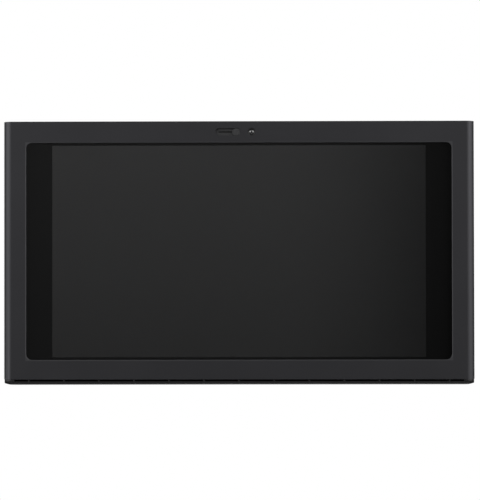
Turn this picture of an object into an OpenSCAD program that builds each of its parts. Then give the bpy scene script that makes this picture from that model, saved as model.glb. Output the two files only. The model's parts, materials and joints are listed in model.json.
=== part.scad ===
// Over-the-range kitchen display: a 27-inch class touch screen and camera in a steel front
// frame, built onto a 30-inch wall-hung ventilation cabinet with blower, damper and filters.
// Millimetres. +Z is up, the screen faces -Y, and the origin is under the middle of the body.

/* [Body] */
// Width over the front frame
body_w = 760; // [752:1:765]
// Height from the underside to the top of the front frame
body_h = 424; // [420:1:440]
// Depth from the front frame's face to the back of the wall plate
body_d = 400; // [396:1:430]
// Thickness of the cabinet's painted steel sheet
sheet_t = 1; // [0.8:0.1:1.2]

/* [Front frame] */
// Depth of the front frame, from its face to its rear edge
frame_depth = 60; // [58:1:64]
// Thickness of the frame's steel
frame_t = 1.2; // [1:0.1:1.4]
// Outer radius of the upright folded edges
edge_r = 14; // [10:0.5:15]
// Height of the frame's lower edge above the underside
frame_z = 8.4; // [8:0.1:9]
// Width of the screen opening
opening_w = 685.2; // [680:0.1:688]
// Height of the screen opening
opening_h = 349.4; // [346:0.1:351]
// Corner radius of the screen opening
opening_r = 9.5; // [6:0.5:12]
// Height of steel above the screen opening
top_band = 34.5; // [33:0.1:36]

/* [Screen] */
// Thickness of the cover glass
glass_t = 3; // [2:0.5:3]
// Width of the lit picture area
picture_w = 602; // [598:1:606]
// Height of the lit picture area
picture_h = 341; // [336:1:343]

/* [Camera and shutter] */
// Sideways place of the room camera
camera_x = 20.8; // [19:0.1:21]
// Radius of the camera hole in the frame
camera_r = 6.5; // [5:0.5:7]
// Length of the shutter's finger track
track_w = 40.5; // [40:0.5:42]
// Height of the shutter's finger track
track_h = 12; // [11:0.5:13]
// Sideways place of the middle of the finger track
track_x = -17.5; // [-18:0.1:-17]
// Travel of the shutter
shutter_travel = 27; // [24:0.5:27]

/* [Lower slot] */
// Distance between neighbouring ribs in the slot under the frame
rib_pitch = 56.4; // [50:0.1:57]
// Number of ribs in the slot
rib_count = 13; // [11:2:13]
// Thickness of the moulded lower trim
trim_t = 5.4; // [5:0.1:5.6]

/* [Ventilation] */
// Outer radius of the blower wheels
wheel_r = 56; // [50:1:60]
// Number of blades on each blower wheel
blade_count = 30; // [20:1:36]
// Width of the exhaust outlet
duct_w = 254; // [240:1:256]
// Depth of the exhaust outlet
duct_d = 83; // [80:1:84]
// Width of one grease filter
filter_w = 330; // [300:1:334]
// Depth of one grease filter
filter_d = 210; // [200:1:212]
// Thickness of one grease filter
filter_t = 9; // [8:0.5:10]

/* [Fixings] */
// Distance between the two cabinet bolts in the top
cabinet_bolt_pitch = 600; // [560:1:620]
// Radius of the cabinet bolt holes
cabinet_bolt_r = 3.2; // [3:0.1:4]
// Sideways distance between the wall plate's bolt holes
wall_bolt_w = 406.4; // [400:0.2:410]
// Upright distance between the wall plate's bolt holes
wall_bolt_h = 260; // [240:1:280]
// Radius of the wall plate's bolt holes
wall_bolt_r = 4.5; // [4:0.5:5]

/* [Hidden] */
$fn = 48;
eps = 0.01;

// Outer faces of the body
half_w = body_w / 2;
front_y = -body_d / 2;
back_y = body_d / 2;
frame_back = front_y + frame_depth;

// Screen stack, front to back
opening_z = body_h - top_band - opening_h / 2;
lip_depth = 2.8;
glass_y = front_y + 3;
glass_overlap = 8;
ink_t = 0.2;
lcd_y = glass_y + glass_t + ink_t;
lcd_t = 1.6;
lcd_margin = 3.5;
guide_y = lcd_y + lcd_t;
guide_t = 4;
tray_y = guide_y + guide_t;
chassis_y = front_y + 20;
board_y = chassis_y + frame_t + 7.4;

// Lower trim: half the length of its slot, the radius of its ends, and its gap to the frame
slot_half_w = 362;
trim_end_r = 5.5;
trim_gap = 0.05;

// Camera and shutter, in the band of steel above the glass
camera_z = body_h - 17.2;
shutter_x0 = -50;
shutter_x1 = 62;
track_t = 3;
track_floor = 0.8;
tab_w = 13;
tab_x = track_x + track_w / 2 - tab_w / 2 - 0.25;
guide_y0 = front_y + frame_t + track_t;
blade_gap = 0.2;
blade_t = 0.7;
blade_h = 14;

// Cabinet shell: it is stepped in from the frame so that screw heads stay within the frame
shell_half_w = half_w - 1.5;
shell_top = body_h - 2;
shell_front = frame_back + 1;
back_panel_t = 1.2;
wall_plate_t = 1.5;
shell_back = back_y - wall_plate_t;
flange = 14;
pan_t = 1.2;
pan_flange = 16;
pan_half_w = shell_half_w - sheet_t - 0.1;
cabinet_bolt_y = -60;
hook_x = 240;
hook_half_w = 18;
screw_head_r = 3.6;
screw_head_h = 1.4;
screw_shank_r = 1.6;
screw_len = 6;
screw_inset = 7;
side_screw_z = [40, 150, 270, 390];
top_screw_y = [-110, 0, 100];

// Underside: filters, lights and cooktop camera
filter_x = 185;
filter_y0 = -44;
filter_z0 = 0.8;
filter_gap = 3;
filter_border = 14;
hinge_y = filter_y0 + filter_d - 4;
hinge_z = filter_z0 + 5.2;
hinge_pin_r = 2;
pull_w = 44;
pull_d = 12;
pull_t = 1.8;
pull_pin_r = 1;
pull_pivot_y = 14.2;
pull_pivot_z = filter_z0 + 1.7;
light_x = 230;
light_y = -100;
light_w = 150;
light_d = 36;
cooktop_camera_r = 11.5;
cooktop_camera_y = -100;

// Blower and exhaust
scroll_r = 72.5;
scroll_wall = 1.5;
duct_y = shell_back - 48.5;
blower_y = duct_y + duct_d / 2 - 72;
blower_z = 300;
housing_x0 = 30;
housing_x1 = 130;
housing_top = body_h - 20;
shaft_r = 4;
running = 0.05;
wheel_x0 = 35;
wheel_x1 = 125;
motor_r = 38;
motor_half = 27;
damper_y = duct_y + duct_d / 2 - 5;
damper_z = housing_top + 12;
damper_rod_r = 2;

// Small electrics
fan_x = 230;
fan_z = 290;
fan_size = 60;
fan_t = 15;
fan_hole_r = 28.5;
cover_back = frame_back - 2;
button_x = 330;
button_y = front_y + 35;
button_r = 5.7;
speaker_x0 = 120;
speaker_w = 180;
speaker_y0 = front_y + 14;
speaker_z0 = frame_z + frame_t;
speaker_h = 17;
grommet_x = 340;
grommet_y = -100;
grommet_bore_r = 5.5;

// ---- Shape helpers ----

// Box between two opposite corners
module box_at(low, high) {
    translate(low) cube(high - low);
}

// Rectangle with true round corners, centred
module rounded_rect(w, h, r) {
    square([w - 2 * r, h], center = true);
    square([w, h - 2 * r], center = true);
    for (sx = [-1, 1], sy = [-1, 1])
        translate([sx * (w / 2 - r), sy * (h / 2 - r)]) circle(r);
}

// Stands a flat XY outline up in the XZ plane, from y = y0 to y0 + t
module upright(y0, t) {
    translate([0, y0 + t, 0]) rotate([90, 0, 0]) linear_extrude(t) children();
}

// Stands a flat (Y, Z) outline up, from x = x0 to x0 + t
module sideways(x0, t) {
    translate([x0, 0, 0]) rotate([90, 0, 90]) linear_extrude(t) children();
}

// Round bar along X
module bar_x(r, x0, x1) {
    translate([x0, 0, 0]) rotate([0, 90, 0]) cylinder(r = r, h = x1 - x0);
}

// Round bar along Y
module bar_y(r, y0, y1) {
    translate([0, y0, 0]) rotate([-90, 0, 0]) cylinder(r = r, h = y1 - y0);
}

// Pan-head screw pointing down, with the underside of its head at z = 0
module pan_screw(length) {
    cylinder(r = screw_head_r, h = screw_head_h);
    translate([0, 0, -length]) cylinder(r = screw_shank_r, h = length + eps);
}

// Plan outline of the front frame, with rounded front corners
module frame_plan(inset, rear) {
    r = edge_r - inset;
    w = half_w - inset;
    front = front_y + inset;
    translate([-(w - r), front]) square([2 * (w - r), rear - front]);
    translate([-w, front + r]) square([2 * w, rear - front - r]);
    for (sx = [-1, 1])
        translate([sx * (w - r), front + r]) circle(r);
}

// Outline of the shutter's finger track, in XZ
module pill(w, h) {
    square([w - h, h], center = true);
    for (sx = [-1, 1])
        translate([sx * (w - h) / 2, 0]) circle(h / 2);
}

// ---- Front ----

module front_frame() {
    color("#303032") {
        difference() {
            translate([0, 0, frame_z])
                linear_extrude(body_h - frame_z) frame_plan(0, frame_back);
            translate([0, 0, frame_z + frame_t])
                linear_extrude(body_h - frame_z - 2 * frame_t)
                    frame_plan(frame_t, frame_back + 1);
            translate([0, 0, opening_z])
                upright(front_y - 1, frame_t + 2) rounded_rect(opening_w, opening_h, opening_r);
            translate([camera_x, 0, camera_z]) bar_y(camera_r, front_y - 1, front_y + 3);
            translate([track_x, 0, camera_z])
                upright(front_y - 1, frame_t + 2) pill(track_w, track_h);
            for (side = [-1, 1])
                translate([side * (speaker_x0 + speaker_w / 2), speaker_y0 + 18, frame_z - 1])
                    linear_extrude(frame_t + 2) pill(speaker_w - 20, 18);
            translate([button_x, button_y, frame_z - 1]) cylinder(r = 6, h = frame_t + 2);
        }
        translate([0, 0, opening_z]) difference() {
            upright(front_y + frame_t - eps, lip_depth - frame_t)
                rounded_rect(opening_w + 2 * frame_t, opening_h + 2 * frame_t, opening_r + frame_t);
            upright(front_y, lip_depth + 1) rounded_rect(opening_w, opening_h, opening_r);
        }
    }
}

module cover_glass() {
    color("#101012")
        translate([0, 0, opening_z]) upright(glass_y, glass_t)
            rounded_rect(opening_w + 2 * glass_overlap, opening_h + 2 * glass_overlap,
                         opening_r + 3);
}

module glass_gasket() {
    inner = 1.6;
    color("#080808") translate([0, 0, opening_z]) difference() {
        upright(front_y + frame_t, glass_y - front_y - frame_t)
            rounded_rect(opening_w + 2 * glass_overlap, opening_h + 2 * glass_overlap,
                         opening_r + 3);
        upright(front_y, 2 * (glass_y - front_y))
            rounded_rect(opening_w + 2 * inner, opening_h + 2 * inner, opening_r + inner);
    }
}

module black_border() {
    color("#050505") translate([0, 0, opening_z]) difference() {
        upright(glass_y + glass_t, ink_t)
            rounded_rect(opening_w + 14, opening_h + 14, opening_r + 2);
        upright(glass_y + glass_t - 1, ink_t + 2) square([picture_w, picture_h], center = true);
    }
}

module lcd_panel() {
    w = picture_w + 2 * lcd_margin;
    h = picture_h + 2 * lcd_margin;
    color("#2b2b2d") translate([-w / 2, lcd_y, opening_z - h / 2]) cube([w, lcd_t, h]);
}

module light_guide() {
    w = picture_w + 2;
    h = picture_h + 2;
    color("#e8ecee") translate([-w / 2, guide_y, opening_z - h / 2]) cube([w, guide_t, h]);
}

module backlight_tray() {
    w = picture_w + 2 * lcd_margin;
    h = picture_h + 2 * lcd_margin;
    color("#9a9ca0") difference() {
        translate([-w / 2, guide_y, opening_z - h / 2]) cube([w, guide_t + 1, h]);
        translate([-picture_w / 2 - 1.2, guide_y - 1, opening_z - picture_h / 2 - 1.2])
            cube([picture_w + 2.4, guide_t + 1, picture_h + 2.4]);
    }
}

// Steel tray that carries the screen; its side walls reach back to the cabinet
module display_chassis() {
    w = half_w - frame_t;
    z0 = 34;
    z1 = body_h - 30;
    wall = shell_front - chassis_y;
    color("#8d9094") {
        difference() {
            box_at([-w, chassis_y, z0], [w, chassis_y + frame_t, z1]);
            for (x = [-260 : 130 : 260])
                box_at([x - 25, chassis_y - 1, 60], [x + 25, chassis_y + frame_t + 1, 66]);
            box_at([20, chassis_y - 1, 100], [60, chassis_y + frame_t + 1, 106]);
        }
        for (sx = [-1, 1])
            translate([sx * (w - frame_t / 2), chassis_y + wall / 2, (z0 + z1) / 2])
                cube([frame_t, wall, z1 - z0], center = true);
        for (x = [-220, 0, 220])
            box_at([x - 6, tray_y + 1, 80], [x + 6, chassis_y + eps, 350]);
    }
}

// ---- Camera and privacy shutter ----

module shutter_track() {
    y0 = front_y + frame_t;
    color("#262628") difference() {
        box_at([shutter_x0, y0, camera_z - 9], [shutter_x1, y0 + track_t, camera_z + 9]);
        translate([track_x, 0, camera_z])
            upright(y0 - 1, track_t - track_floor + 1) pill(track_w, track_h);
        translate([(tab_x + tab_x - shutter_travel) / 2, 0, camera_z])
            upright(y0, track_t + 1) pill(shutter_travel + 3, 2.4);
        translate([camera_x, 0, camera_z]) bar_y(camera_r - 0.5, y0 - 1, y0 + track_t + 1);
    }
}

module shutter_guide() {
    color("#18181a") difference() {
        box_at([shutter_x0, guide_y0, camera_z - 9], [shutter_x1, guide_y0 + 2.2, camera_z + 9]);
        box_at([shutter_x0 + 4, guide_y0 - 1, camera_z - blade_h / 2 - 0.2],
               [shutter_x1 - 3, guide_y0 + blade_gap + blade_t + 0.2, camera_z + blade_h / 2 + 0.2]);
        translate([camera_x, 0, camera_z]) bar_y(5, guide_y0 - 1, guide_y0 + 4);
    }
}

module shutter_tab() {
    pocket_y = front_y + frame_t + track_t - track_floor;
    color("#3b3b3d") {
        translate([tab_x, 0, camera_z]) {
            upright(front_y + 0.5, pocket_y - front_y - 0.5 - 0.15) pill(tab_w, track_h - 0.5);
            for (x = [-2, 0, 2])
                translate([x, 0, 0]) upright(front_y + 0.1, 0.5) square([0.7, 7], center = true);
            bar_y(1, pocket_y - 0.5, guide_y0 + blade_gap);
        }
    }
}

module shutter_blade() {
    y0 = guide_y0 + blade_gap;
    color("#101010") difference() {
        box_at([tab_x - 9, y0, camera_z - blade_h / 2],
               [shutter_x1 - 6, y0 + blade_t, camera_z + blade_h / 2]);
        translate([camera_x, 0, camera_z]) bar_y(5, y0 - 1, y0 + blade_t + 1);
    }
}

module camera_window() {
    color("#0a0b0d") translate([camera_x, 0, camera_z])
        bar_y(camera_r, front_y + 0.4, front_y + frame_t);
}

module room_camera() {
    y0 = guide_y0 + 2.2;
    color("#121214") translate([camera_x, 0, camera_z]) {
        difference() {
            union() {
                translate([-9, y0 + 9, -9]) cube([18, 1.6, 18]);
                bar_y(7.5, y0, y0 + 9 + eps);
            }
            bar_y(5, y0 - 1, y0 + 5);
        }
        translate([-4, y0 + 10.6 - eps, -4]) cube([8, 3, 8]);
    }
}

module room_camera_lens() {
    y0 = guide_y0 + 1.5;
    ball_r = 6.2;
    color("#0c1018") translate([camera_x, 0, camera_z]) intersection() {
        translate([0, y0 + ball_r, 0]) sphere(ball_r);
        bar_y(4.8, y0 - 1, y0 + 5.7);
    }
}

// ---- Lower trim, button and speakers ----

// Front outline of the lower trim, in XZ, with its lower corners rounded
module trim_face(w) {
    translate([-(w - trim_end_r), 0]) square([2 * (w - trim_end_r), frame_z - trim_gap]);
    translate([-w, trim_end_r]) square([2 * w, frame_z - trim_gap - trim_end_r]);
    for (sx = [-1, 1])
        translate([sx * (w - trim_end_r), trim_end_r]) circle(trim_end_r);
}

// The trim closes the frame from below; a slot behind its lip lets the sound of the speakers out
module lower_trim() {
    rib_h = frame_z - trim_gap - trim_t + eps;
    color("#161617") difference() {
        union() {
            difference() {
                intersection() {
                    linear_extrude(frame_z - trim_gap) frame_plan(0.6, frame_back);
                    upright(front_y, frame_depth) trim_face(half_w - 0.6);
                }
                box_at([-slot_half_w, front_y - 1, trim_t], [slot_half_w, frame_back + 1, frame_z]);
            }
            for (i = [0 : rib_count - 1])
                translate([(i - (rib_count - 1) / 2) * rib_pitch - 1, front_y + 2, trim_t - eps])
                    cube([2, 36, rib_h]);
            box_at([-slot_half_w - eps, front_y + 36, trim_t - eps],
                   [slot_half_w + eps, front_y + 42, trim_t - eps + rib_h]);
        }
        translate([button_x, button_y, -1]) cylinder(r = button_r + 0.3, h = 20);
        translate([button_x, button_y, trim_t]) cylinder(r = 9, h = 20);
    }
}

module power_button() {
    color("#2a2a2c") translate([button_x, button_y, 0]) difference() {
        union() {
            translate([0, 0, 0.5]) cylinder(r = button_r, h = trim_t);
            translate([0, 0, trim_t + 0.1]) cylinder(r = 7.5, h = 0.7);
        }
        translate([0, 0, -0.1]) cylinder(r1 = 4, r2 = 3, h = 1);
    }
}

module power_switch() {
    color("#d8d4c8") translate([button_x, button_y, frame_z + frame_t]) {
        translate([0, 0, -1.8]) cylinder(r = 2, h = 2);
        translate([-7, -7, 0]) cube([14, 14, 6]);
    }
}

module speaker_box(side) {
    x0 = side > 0 ? speaker_x0 : -speaker_x0 - speaker_w;
    color("#1b1b1d") difference() {
        translate([x0, speaker_y0, speaker_z0]) cube([speaker_w, 36, speaker_h]);
        translate([x0 + speaker_w / 2, speaker_y0 + 18, speaker_z0 - 1])
            linear_extrude(speaker_h - 1) pill(speaker_w - 12, 26);
    }
}

module speaker_cones() {
    color("#404044")
        for (side = [-1, 1])
            translate([side * (speaker_x0 + speaker_w / 2), speaker_y0 + 18, speaker_z0]) {
                difference() {
                    linear_extrude(2) pill(speaker_w - 12, 26);
                    translate([0, 0, -1]) linear_extrude(4) pill(speaker_w - 20, 18);
                }
                translate([0, 0, 0.8]) linear_extrude(1) pill(speaker_w - 20 + eps, 18 + eps);
                translate([0, 0, 1.8 - eps]) linear_extrude(8) pill(60, 14);
            }
}

// ---- Electronics behind the screen ----

module main_board() {
    color("#1f5a34") {
        translate([-60, board_y, 170]) cube([220, 1.6, 150]);
        for (p = [[-40, 280, 26, 20], [20, 290, 34, 14], [100, 270, 24, 30], [-40, 190, 40, 12],
                  [30, 184, 50, 10], [110, 186, 36, 12]])
            translate([p[0], board_y + 1.6 - eps, p[1]]) cube([p[2], 4, p[3]]);
        translate([40, board_y + 1.6 - eps, 220]) cube([40, 2, 40]);
    }
}

module main_heatsink() {
    y0 = board_y + 3.6 - eps;
    color("#b9bcc0") {
        translate([30, y0, 210]) cube([60, 3, 60]);
        for (i = [0 : 9])
            translate([30 + i * 6.4, y0 + 3 - eps, 210]) cube([1.6, 14, 60]);
    }
}

module power_board() {
    y0 = board_y + 1.6 - eps;
    color("#2c6b3c") {
        translate([-290, board_y, 190]) cube([190, 1.6, 120]);
        translate([-230, y0, 230]) cube([40, 24, 36]);
        for (x = [-272, -250])
            translate([x, 0, 290]) bar_y(8, y0, y0 + 22);
        translate([-160, y0, 210]) cube([6, 22, 70]);
        translate([-130, y0, 280]) cube([24, 14, 18]);
    }
}

module board_standoffs() {
    color("#c8a850")
        for (x = [-284, -106, -54, 154], z = [196, 304])
            translate([x, 0, z]) bar_y(3, chassis_y + frame_t, board_y);
}

module wireless_antennas() {
    color("#c9a227")
        for (sx = [-1, 1])
            translate([sx * 330 - 6, lcd_y, 250]) cube([12, 1, 70]);
}

// Flat cable from the panel's lower edge, back through the chassis slot to the main board
module display_ribbon() {
    z = 103;
    y1 = board_y + 1.6;
    color("#c77b2b") {
        box_at([24, tray_y + 1, z - 0.2], [56, y1 + 1, z + 0.2]);
        box_at([24, y1 + 0.6, z], [56, y1 + 1, 184]);
        box_at([24, tray_y + 1, z], [56, tray_y + 1.4, z + 20]);
    }
}

module electronics_cover() {
    low = [-320, chassis_y + frame_t, 80];
    high = [320, cover_back, 380];
    wall = [sheet_t, 0, sheet_t];
    color("#9a9da1") difference() {
        box_at(low, high);
        box_at(low + wall - [0, 1, 0], high - wall - [0, sheet_t, 0]);
        translate([fan_x, 0, fan_z]) bar_y(fan_hole_r, cover_back - 3, cover_back + 1);
        for (i = [0 : 9])
            box_at([-260 + i * 16, cover_back - 3, 120], [-252 + i * 16, cover_back + 1, 170]);
    }
}

module cooling_fan_frame() {
    y1 = cover_back - sheet_t;
    color("#1c1c1e") difference() {
        translate([fan_x - fan_size / 2, y1 - fan_t, fan_z - fan_size / 2])
            cube([fan_size, fan_t, fan_size]);
        translate([fan_x, 0, fan_z]) bar_y(fan_hole_r, y1 - fan_t + 2, y1 + 1);
        translate([fan_x, 0, fan_z]) difference() {
            bar_y(fan_hole_r, y1 - fan_t - 1, y1);
            bar_y(15, y1 - fan_t - 1, y1);
            for (a = [0, 90])
                rotate([0, a, 0]) translate([-40, y1 - fan_t - 1, -2]) cube([80, fan_t + 2, 4]);
        }
        translate([fan_x, 0, fan_z]) bar_y(1.5 + running, y1 - fan_t - 1, y1);
    }
}

module cooling_fan_rotor() {
    y1 = cover_back - sheet_t;
    y0 = y1 - fan_t + 2.6;
    color("#2b2b2e") translate([fan_x, 0, fan_z]) {
        bar_y(14, y0, y1 - 1);
        bar_y(1.5, y1 - fan_t + 0.3, y0 + eps);
        for (i = [0 : 6])
            rotate([0, i * 360 / 7, 0]) translate([20, (y0 + y1 - 1) / 2, 0])
                rotate([35, 0, 0]) cube([14.4, 1, 11], center = true);
    }
}

// ---- Cabinet shell ----

module side_panel(side) {
    z0 = pan_t + 0.1;
    h = shell_top - sheet_t - z0;
    x_out = shell_half_w;
    color("#1b1b1c") difference() {
        mirror([side > 0 ? 0 : 1, 0, 0]) {
            box_at([x_out - sheet_t, shell_front, z0], [x_out, shell_back, z0 + h]);
            box_at([x_out - flange, shell_front, z0],
                   [x_out - sheet_t + eps, shell_front + sheet_t, z0 + h]);
            box_at([x_out - flange, shell_back - back_panel_t - sheet_t, z0],
                   [x_out - sheet_t + eps, shell_back - back_panel_t, z0 + h]);
            box_at([x_out - flange, shell_front + sheet_t + 1, z0 + h - sheet_t],
                   [x_out - sheet_t + eps, shell_back - back_panel_t - sheet_t - 1, z0 + h]);
        }
        for (y = top_screw_y)
            translate([side * (x_out - screw_inset), y, z0 + h - 5]) cylinder(r = screw_shank_r, h = 10);
        for (z = side_screw_z)
            translate([side * (x_out - screw_inset), 0, z])
                bar_y(screw_shank_r, shell_back - 5, shell_back);
    }
}

module top_panel() {
    z0 = shell_top - sheet_t;
    w = shell_half_w;
    inner = w - flange - 1;
    color("#1b1b1c") difference() {
        union() {
            box_at([-w, shell_front, z0], [w, shell_back - back_panel_t, shell_top]);
            box_at([-inner, shell_front, z0 - flange], [inner, shell_front + sheet_t, z0 + eps]);
            box_at([-inner, shell_back - back_panel_t - sheet_t, z0 - flange],
                   [inner, shell_back - back_panel_t, z0 + eps]);
        }
        translate([-duct_w / 2, duct_y - duct_d / 2, z0 - 1]) cube([duct_w, duct_d, 4]);
        for (sx = [-1, 1])
            translate([sx * cabinet_bolt_pitch / 2, cabinet_bolt_y, z0 - 1])
                cylinder(r = cabinet_bolt_r, h = 4);
        translate([grommet_x, grommet_y, z0 - 1]) cylinder(r = 9, h = 4);
        for (sx = [-1, 1], y = top_screw_y)
            translate([sx * (w - screw_inset), y, z0 - 1]) cylinder(r = screw_shank_r, h = 4);
    }
}

module back_panel() {
    y0 = shell_back - back_panel_t;
    w = shell_half_w - sheet_t - 0.1;
    color("#1b1b1c") difference() {
        box_at([-w, y0, 1.5], [w, shell_back, shell_top - sheet_t - 0.1]);
        for (sx = [-1, 1], sz = [-1, 1])
            translate([sx * wall_bolt_w / 2, 0, body_h / 2 + sz * wall_bolt_h / 2])
                bar_y(11, y0 - 1, shell_back + 1);
        for (sx = [-1, 1])
            box_at([sx * hook_x - hook_half_w - 3, y0 - 1, 24],
                   [sx * hook_x + hook_half_w + 3, shell_back + 1, 31]);
        for (sx = [-1, 1], z = side_screw_z)
            translate([sx * (shell_half_w - screw_inset), 0, z])
                bar_y(screw_shank_r, y0 - 1, shell_back + 1);
    }
}

module base_pan() {
    w = pan_half_w;
    y1 = shell_back - back_panel_t - sheet_t - 0.2;
    color("#1d1d1f") difference() {
        box_at([-w, shell_front, 0], [w, y1, pan_flange]);
        box_at([-w + pan_t, shell_front + pan_t, pan_t], [w - pan_t, y1 - pan_t, pan_flange + 1]);
        for (sx = [-1, 1]) {
            box_at([sx * filter_x - filter_w / 2 - 2, filter_y0 - filter_gap, -1],
                   [sx * filter_x + filter_w / 2 + 2, filter_y0 + filter_d + 3.5, 4]);
            translate([sx * light_x, light_y, -1])
                linear_extrude(4) rounded_rect(light_w, light_d, 6);
        }
        translate([0, cooktop_camera_y, -1]) cylinder(r = cooktop_camera_r + 0.2, h = 4);
        for (sx = [-1, 1])
            box_at([sx * (w - 7) - 8, shell_front - 1, pan_t],
                   [sx * (w - 7) + 8, shell_front + 3, pan_flange + 1]);
        for (sx = [-1, 1])
            box_at([sx * (w - 7) - 8, y1 - 3, pan_t], [sx * (w - 7) + 8, y1 + 1, pan_flange + 1]);
    }
}

// Wall plate: screwed to the studs first; its two hooks catch the slots in the back panel
module wall_plate() {
    w = 355;
    z0 = 20;
    z1 = body_h - 24;
    color("#a9acb0") {
        difference() {
            box_at([-w, shell_back, z0], [w, back_y, z1]);
            for (sx = [-1, 1], sz = [-1, 1])
                translate([sx * wall_bolt_w / 2, 0, body_h / 2 + sz * wall_bolt_h / 2])
                    bar_y(wall_bolt_r, shell_back - 1, back_y + 1);
            for (i = [-3 : 3], j = [-1 : 1])
                translate([i * 92, 0, body_h / 2 + j * 84])
                    upright(shell_back - 1, wall_plate_t + 2) rounded_rect(66, 52, 8);
            for (i = [-7 : 7], sz = [-1, 1])
                translate([i * 46, 0, body_h / 2 + sz * 168])
                    bar_y(3, shell_back - 1, back_y + 1);
        }
        for (sx = [-1, 1]) {
            box_at([sx * hook_x - hook_half_w, shell_back - back_panel_t - 5, 26],
                   [sx * hook_x + hook_half_w, shell_back + eps, 28]);
            box_at([sx * hook_x - hook_half_w, shell_back - back_panel_t - 5, 27],
                   [sx * hook_x + hook_half_w, shell_back - back_panel_t - 3, 36]);
        }
    }
}

module cabinet_weld_nuts() {
    color("#b8bbbf")
        for (sx = [-1, 1])
            translate([sx * cabinet_bolt_pitch / 2, cabinet_bolt_y, shell_top - sheet_t - 8])
            difference() {
                cylinder(r = 7, h = 8, $fn = 6);
                translate([0, 0, -1]) cylinder(r = cabinet_bolt_r, h = 10);
            }
}

module cord_grommet() {
    z0 = shell_top - sheet_t;
    color("#0d0d0d") translate([grommet_x, grommet_y, 0]) difference() {
        union() {
            translate([0, 0, z0]) cylinder(r = 9, h = sheet_t);
            translate([0, 0, z0 - 5]) cylinder(r = 11.5, h = 5);
            translate([0, 0, shell_top]) cylinder(r = 11.5, h = 1.6);
        }
        translate([0, 0, z0 - 10]) cylinder(r = grommet_bore_r, h = 20);
    }
}

module case_screws() {
    color("#2f2f31") {
        for (sx = [-1, 1], y = top_screw_y)
            translate([sx * (shell_half_w - screw_inset), y, shell_top]) pan_screw(screw_len);
        for (sx = [-1, 1], z = side_screw_z)
            translate([sx * (shell_half_w - screw_inset), shell_back, z])
                rotate([-90, 0, 0]) pan_screw(screw_len);
    }
}

// ---- Blower and exhaust ----

// Scroll outline in (Y, Z), grown by g
module scroll_outline(g) {
    translate([blower_y, blower_z]) circle(scroll_r + g);
    translate([duct_y - duct_d / 2 - g, blower_z]) square([duct_d + 2 * g, housing_top - blower_z]);
}

module blower_housing(side) {
    inlet_r = wheel_r - 10;
    hub_hole_r = 14;
    length = housing_x1 - housing_x0;
    x0 = side > 0 ? housing_x0 : -housing_x1;
    color("#6f7276") difference() {
        sideways(x0, length) scroll_outline(scroll_wall);
        sideways(x0 + scroll_wall, length - 2 * scroll_wall) scroll_outline(0);
        translate([x0 + scroll_wall, duct_y - duct_d / 2, housing_top - 4])
            cube([length - 2 * scroll_wall, duct_d, 10]);
        translate([0, blower_y, blower_z]) {
            bar_x(hub_hole_r, x0 - 1, x0 + length + 1);
            translate([side * housing_x1, 0, 0]) bar_x(inlet_r, -scroll_wall - 1, scroll_wall + 1);
        }
    }
}

module blower_motor() {
    color("#3c3f43") translate([0, blower_y, blower_z]) difference() {
        union() {
            bar_x(motor_r, -motor_half + 6, motor_half - 6);
            bar_x(motor_r - 6, -motor_half, motor_half);
        }
        bar_x(shaft_r + running, -motor_half - 1, motor_half + 1);
        for (a = [0 : 45 : 315])
            rotate([a, 0, 0]) translate([-motor_half - 1, 18, -3]) cube([5, 8, 6]);
    }
}

module motor_bracket() {
    color("#a2a5a9") translate([0, blower_y, blower_z]) {
        difference() {
            bar_x(motor_r + 2.5, -12, 12);
            bar_x(motor_r, -13, 13);
        }
        for (sy = [-1, 1]) {
            translate([0, sy * (motor_r + 8), 0]) cube([24, 14, 3], center = true);
            translate([0, sy * (motor_r + 15), 0]) cube([2 * housing_x0, 3, 24], center = true);
        }
    }
}

module blower_shaft() {
    color("#c6c9cc") translate([0, blower_y, blower_z]) bar_x(shaft_r, -wheel_x1 - 2, wheel_x1 + 2);
}

module blower_wheel(side) {
    blade_in = wheel_r - 12;
    length = wheel_x1 - wheel_x0;
    x0 = side > 0 ? wheel_x0 : -wheel_x1;
    disc_x = side > 0 ? wheel_x0 : -wheel_x0 - 2;
    color("#4b4e52") translate([0, blower_y, blower_z]) difference() {
        union() {
            translate([disc_x, 0, 0]) bar_x(wheel_r, 0, 2);
            translate([disc_x + side * 8 - 8, 0, 0]) bar_x(9, 0, 18);
            for (x = [x0, x0 + length - 2])
                difference() {
                    bar_x(wheel_r, x, x + 2);
                    bar_x(blade_in + 1, x - 1, x + 3);
                }
            for (i = [0 : blade_count - 1])
                rotate([i * 360 / blade_count, 0, 0]) translate([x0 + 1, blade_in + 5.5, 0])
                    rotate([28, 0, 0]) translate([0, -5.5, -0.5]) cube([length - 2, 11, 1]);
        }
        bar_x(shaft_r, -wheel_x1 - 20, wheel_x1 + 20);
    }
}

module motor_capacitor() {
    color("#d9d9d4") translate([-270, 168, 300]) {
        cylinder(r = 16, h = 62);
        translate([-4, 0, 62 - eps]) cylinder(r = 2, h = 6);
        translate([4, 0, 62 - eps]) cylinder(r = 2, h = 6);
        translate([-8, 14, 20]) cube([16, shell_back - back_panel_t - 182, 20]);
    }
}

module outlet_collar() {
    wall = 1.5;
    z1 = shell_top - sheet_t;
    color("#7c7f83") difference() {
        translate([-duct_w / 2 - wall, duct_y - duct_d / 2 - wall, housing_top])
            cube([duct_w + 2 * wall, duct_d + 2 * wall, z1 - housing_top]);
        translate([-duct_w / 2, duct_y - duct_d / 2, housing_top + 8.7])
            cube([duct_w, duct_d, 20]);
        for (sx = [-1, 1])
            translate([sx * (housing_x0 + housing_x1) / 2, duct_y, housing_top + 5])
                cube([housing_x1 - housing_x0 - 10, duct_d - 8, 20], center = true);
        translate([0, damper_y, damper_z])
            bar_x(damper_rod_r + running, -duct_w / 2 - 5, duct_w / 2 + 5);
    }
}

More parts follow.
